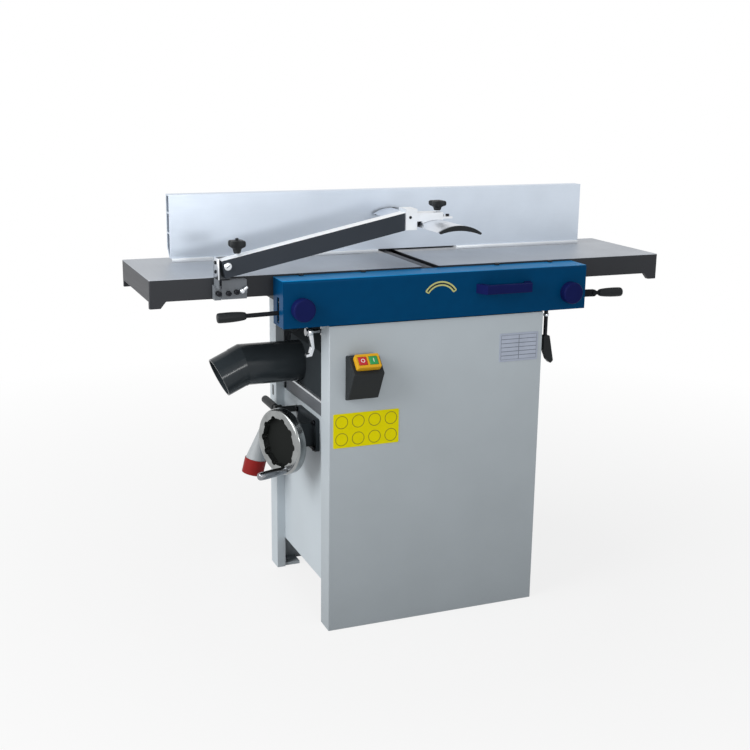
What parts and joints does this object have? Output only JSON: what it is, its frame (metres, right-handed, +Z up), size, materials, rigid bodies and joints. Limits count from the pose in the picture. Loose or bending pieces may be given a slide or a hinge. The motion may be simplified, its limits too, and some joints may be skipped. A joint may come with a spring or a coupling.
{
  "type": "combination woodworking machine",
  "caption": "Floor-standing planer and thicknesser: grey sheet cabinet, tilting iron tables with fence and bridge guard, handwheel-raised bed, dust hood with duct.",
  "frame": {"origin": "on the floor, at the centre of the four floor-bolt holes", "axes": "+X along the tables toward the infeed end, +Y from the operator to the fence, +Z up"},
  "size_m": [1.3, 0.553, 1.0155],
  "materials": {
    "cabinet_paint": "satin powder coat",
    "frame_paint": "satin paint",
    "black_steel": "black oxide",
    "motor_paint": "satin paint",
    "rail_paint": "semi-gloss paint",
    "table_iron": "ground top, painted sides",
    "clamp_paint": "satin paint",
    "fence_aluminium": "anodised",
    "cast_aluminium": "satin casting",
    "wheel_aluminium": "polished",
    "ground_steel": "ground",
    "chrome_steel": "polished",
    "nut_bronze": "turned",
    "black_plastic": "moulded, fine grain",
    "hood_plastic": "glossy",
    "belt_rubber": "matt",
    "yellow_plastic": "satin",
    "red_plastic": "satin",
    "green_plastic": "satin",
    "collar_plastic": "satin",
    "grey_plastic": "satin",
    "plate_enamel": "printed enamel"
  },
  "bodies": {
    "base": {"cabinet_front": "cabinet_paint", "cabinet_rear": "cabinet_paint", "left_side_panel": "cabinet_paint", "right_side_panel": "cabinet_paint", "base_frame": "frame_paint", "front_head_plate": "frame_paint", "rear_head_plate": "frame_paint", "hinge_pins": "ground_steel", "handwheel_bracket": "frame_paint", "latch_rod": "chrome_steel", "drive_belts": "belt_rubber", "motor_body": "motor_paint", "belt_cover": "frame_paint", "switch_box": "black_plastic", "switch_bezel": "yellow_plastic", "inlet_body": "grey_plastic", "inlet_collar": "collar_plastic", "label_plates": "plate_enamel"},
    "tables": {"table_frame": "frame_paint", "outfeed_table": "table_iron", "rail_cover": "rail_paint", "rail_screws": "ground_steel", "rail_handle": "black_plastic", "guard_clamp": "clamp_paint", "slide_bar": "ground_steel"},
    "infeed": {"infeed_table": "table_iron"},
    "depth": {"depth_lever": "ground_steel", "depth_grip": "black_plastic"},
    "left_lock": {"left_lock_lever": "black_steel", "left_lock_grip": "black_plastic"},
    "right_lock": {"right_lock_lever": "black_steel", "right_lock_grip": "black_plastic"},
    "carriage": {"fence_carriage": "cast_aluminium", "rear_cutter_guard": "frame_paint"},
    "fence": {"fence_profile": "fence_aluminium"},
    "arm": {"guard_arm": "black_steel", "guard_holder": "cast_aluminium"},
    "guard": {"guard_profile": "fence_aluminium", "guard_end_caps": "black_plastic"},
    "lift_clamp": {"lift_knob": "black_plastic"},
    "slide_clamp": {"slide_knob": "black_plastic"},
    "bed": {"bed_table": "table_iron", "bed_column": "ground_steel", "lift_screw": "ground_steel"},
    "nut": {"nut_gear": "nut_bronze"},
    "handwheel": {"handwheel_rim": "wheel_aluminium", "handwheel_disc": "black_plastic", "handwheel_shaft": "ground_steel"},
    "crank": {"crank_grip": "chrome_steel"},
    "hood": {"dust_hood": "hood_plastic"},
    "latch": {"hood_latch": "ground_steel"},
    "cutter": {"cutterblock": "ground_steel", "knives": "ground_steel", "cutter_pulley": "table_iron"},
    "rotor": {"motor_rotor": "ground_steel"},
    "draw_in": {"toothed_roller": "ground_steel"},
    "draw_out": {"smooth_roller": "ground_steel"},
    "stop": {"stop_button": "red_plastic"},
    "start": {"start_button": "green_plastic"},
    "bed_lock": {"bed_lock_lever": "black_plastic"}
  },
  "joints": [
    {"name": "table_tilt", "type": "hinge", "parent": "base", "child": "tables", "pos_m": [0, 0.2, 0.836], "axis": [-1, 0, 0], "range_deg": [0, 80]},
    {"name": "depth_lever_turn", "type": "hinge", "parent": "tables", "child": "depth", "pos_m": [0.3, -0.197, 0.79], "axis": [0, -1, 0], "range_deg": [0, 40]},
    {"name": "infeed_depth", "type": "slide", "parent": "tables", "child": "infeed", "axis": [0, 0, -1], "range_m": [0, 0.004]},
    {"name": "left_lock_turn", "type": "hinge", "parent": "tables", "child": "left_lock", "pos_m": [-0.34, -0.197, 0.789], "axis": [0, 1, 0], "range_deg": [-18, 5]},
    {"name": "right_lock_turn", "type": "hinge", "parent": "tables", "child": "right_lock", "pos_m": [0.34, -0.197, 0.789], "axis": [0, -1, 0], "range_deg": [-14, 20]},
    {"name": "fence_slide", "type": "slide", "parent": "tables", "child": "carriage", "axis": [0, 1, 0], "range_m": [0, 0.04]},
    {"name": "fence_tilt", "type": "hinge", "parent": "carriage", "child": "fence", "pos_m": [0, 0.099, 0.8725], "axis": [-1, 0, 0], "range_deg": [0, 45]},
    {"name": "guard_lift", "type": "hinge", "parent": "tables", "child": "arm", "pos_m": [-0.498, -0.185, 0.887], "axis": [0, -1, 0], "range_deg": [-6, 35]},
    {"name": "guard_slide", "type": "slide", "parent": "arm", "child": "guard", "axis": [0, -1, 0], "range_m": [0, 0.12]},
    {"name": "lift_knob_turn", "type": "hinge", "parent": "arm", "child": "lift_clamp", "pos_m": [-0.472, -0.185, 0.93], "axis": [0, 0, 1], "range_deg": [0, 180]},
    {"name": "slide_knob_turn", "type": "hinge", "parent": "arm", "child": "slide_clamp", "pos_m": [0.00494, -0.186, 1], "axis": [0, 0, 1], "range_deg": [0, 180]},
    {"name": "handwheel_turn", "type": "hinge", "parent": "base", "child": "handwheel", "pos_m": [-0.333, -0.05963, 0.432], "axis": [-0.9397, -0.342, 0], "range_deg": [0, 3600]},
    {"name": "bed_lift", "type": "slide", "parent": "base", "child": "bed", "axis": [0, 0, 1], "range_m": [0, 0.04]},
    {"name": "nut_turn", "type": "hinge", "parent": "base", "child": "nut", "pos_m": [0, 0.06157, 0.4], "axis": [0, 0, 1], "range_deg": [0, 3600]},
    {"name": "crank_spin", "type": "hinge", "parent": "handwheel", "child": "crank", "pos_m": [-0.32303, -0.08703, 0.36946], "axis": [-0.9397, -0.342, 0], "continuous": true},
    {"name": "hood_pull", "type": "slide", "parent": "bed", "child": "hood", "axis": [-1, 0, 0], "range_m": [0, 0.6]},
    {"name": "latch_swing", "type": "hinge", "parent": "base", "child": "latch", "pos_m": [-0.3, -0.167, 0.722], "axis": [1, 0, 0], "range_deg": [-40, 20]},
    {"name": "cutter_spin", "type": "hinge", "parent": "base", "child": "cutter", "pos_m": [0, 0, 0.822], "axis": [0, 1, 0], "continuous": true},
    {"name": "motor_spin", "type": "hinge", "parent": "base", "child": "rotor", "pos_m": [0.13, 0, 0.2], "axis": [0, 1, 0], "continuous": true},
    {"name": "draw_in_spin", "type": "hinge", "parent": "base", "child": "draw_in", "pos_m": [-0.064, 0, 0.805], "axis": [0, 1, 0], "continuous": true},
    {"name": "draw_out_spin", "type": "hinge", "parent": "base", "child": "draw_out", "pos_m": [0.064, 0, 0.805], "axis": [0, 1, 0], "continuous": true},
    {"name": "stop_press", "type": "slide", "parent": "base", "child": "stop", "axis": [0, 0.7071, -0.7071], "range_m": [0, 0.004], "stiffness_N_per_m": 600, "springref_m": -0.001},
    {"name": "start_press", "type": "slide", "parent": "base", "child": "start", "axis": [0, 0.7071, -0.7071], "range_m": [0, 0.004], "stiffness_N_per_m": 600, "springref_m": -0.001},
    {"name": "bed_lock_turn", "type": "hinge", "parent": "base", "child": "bed_lock", "pos_m": [-0.302, 0.072, 0.472], "axis": [1, 0, 0], "range_deg": [0, 35]}
  ],
  "couplings": [
    {"joint": "depth_lever_turn", "follows": "infeed_depth", "rad_per_m": 174.53},
    {"joint": "handwheel_turn", "follows": "bed_lift", "rad_per_m": 1570.8},
    {"joint": "nut_turn", "follows": "bed_lift", "rad_per_m": 1570.8},
    {"joint": "motor_spin", "follows": "cutter_spin", "ratio": 0.53333},
    {"joint": "draw_in_spin", "follows": "cutter_spin", "ratio": -0.04},
    {"joint": "draw_out_spin", "follows": "cutter_spin", "ratio": -0.04}
  ]
}
